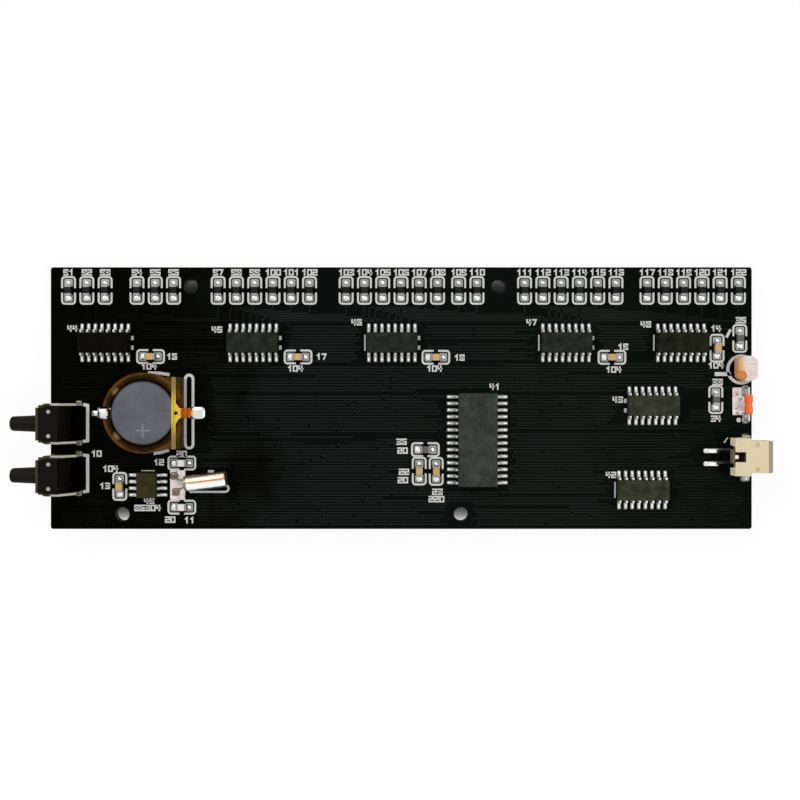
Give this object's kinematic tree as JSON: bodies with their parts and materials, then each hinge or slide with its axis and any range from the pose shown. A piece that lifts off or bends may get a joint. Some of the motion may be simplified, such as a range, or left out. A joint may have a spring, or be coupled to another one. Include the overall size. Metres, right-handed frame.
{
  "type": "led dot matrix clock",
  "caption": "Bare black clock board with a lamp matrix on one side and driver chips, coin cell, side buttons, sensors and a power header on the other.",
  "frame": {"origin": "middle of the outline, on the plane of the lamp faces that the board rests on", "axes": "+X along the board towards the power header, +Y across it towards the row of resistors, +Z out of the component side"},
  "size_m": [0.143, 0.0504, 0.0107],
  "materials": {
    "board": "black solder mask, semi-gloss",
    "lamp_package": "white moulded plastic",
    "lamp_filling": "clear filling over phosphor",
    "resistor_body": "black glaze on ceramic",
    "tin": "bright tin plate",
    "capacitor_body": "tan ceramic",
    "pale_capacitor": "pale grey ceramic",
    "package": "matt epoxy moulding",
    "controller_package": "matt epoxy moulding",
    "leads": "tinned lead frame",
    "can": "drawn nickel silver",
    "stem": "glass bead in a metal eyelet",
    "holder": "dark amber moulding",
    "cell": "brushed stainless steel",
    "gasket": "nylon gasket",
    "gilt": "gold flashed spring strip",
    "button_black": "black moulding",
    "bracket": "tinned steel strip",
    "dome": "sprung stainless disc",
    "header": "natural beige moulding",
    "sensor_disc": "coated ceramic",
    "sensor_pane": "clear lacquer over the sensing track",
    "bead": "orange glass"
  },
  "bodies": {
    "board": {"circuit_board": "board", "lamp_block_1": "lamp_package", "lamp_block_2": "lamp_package", "lamp_block_3": "lamp_package", "lamp_block_4": "lamp_package", "lamp_fillings": "lamp_filling", "column_resistors": "resistor_body", "column_resistor_caps": "tin", "small_resistors": "resistor_body", "small_resistor_caps": "tin", "decoupling_capacitors": "capacitor_body", "load_capacitors": "pale_capacitor", "capacitor_caps": "tin", "column_driver_1": "package", "column_driver_2": "package", "column_driver_3": "package", "column_driver_4": "package", "row_driver": "package", "row_sink_1": "package", "row_sink_2": "package", "column_driver_1_leads": "leads", "column_driver_2_leads": "leads", "column_driver_3_leads": "leads", "column_driver_4_leads": "leads", "row_driver_leads": "leads", "row_sink_1_leads": "leads", "row_sink_2_leads": "leads", "controller": "controller_package", "controller_leads": "leads", "clock_chip": "package", "clock_chip_leads": "leads", "crystal_can": "can", "crystal_stem": "stem", "crystal_leads": "tin", "battery_holder": "holder", "coin_cell_can": "cell", "coin_cell_gasket": "gasket", "coin_cell_cap": "cell", "positive_contact": "gilt", "negative_contact": "tin", "upper_button_housing": "button_black", "upper_button_bracket": "bracket", "upper_button_dome": "dome", "upper_button_terminals": "tin", "lower_button_housing": "button_black", "lower_button_bracket": "bracket", "lower_button_dome": "dome", "lower_button_terminals": "tin", "power_header_housing": "header", "power_header_pins": "tin", "power_header_anchors": "tin", "light_sensor_disc": "sensor_disc", "light_sensor_pane": "sensor_pane", "light_sensor_leads": "tin", "temperature_bead": "bead", "temperature_leads": "tin"},
    "upper_button": {"upper_button_plunger": "button_black"},
    "lower_button": {"lower_button_plunger": "button_black"}
  },
  "joints": [
    {"name": "upper_button_press", "type": "slide", "parent": "board", "child": "upper_button", "axis": [1, 0, 0], "range_m": [0, 0.00025], "stiffness_N_per_m": 6300},
    {"name": "lower_button_press", "type": "slide", "parent": "board", "child": "lower_button", "axis": [1, 0, 0], "range_m": [0, 0.00025], "stiffness_N_per_m": 6300}
  ]
}
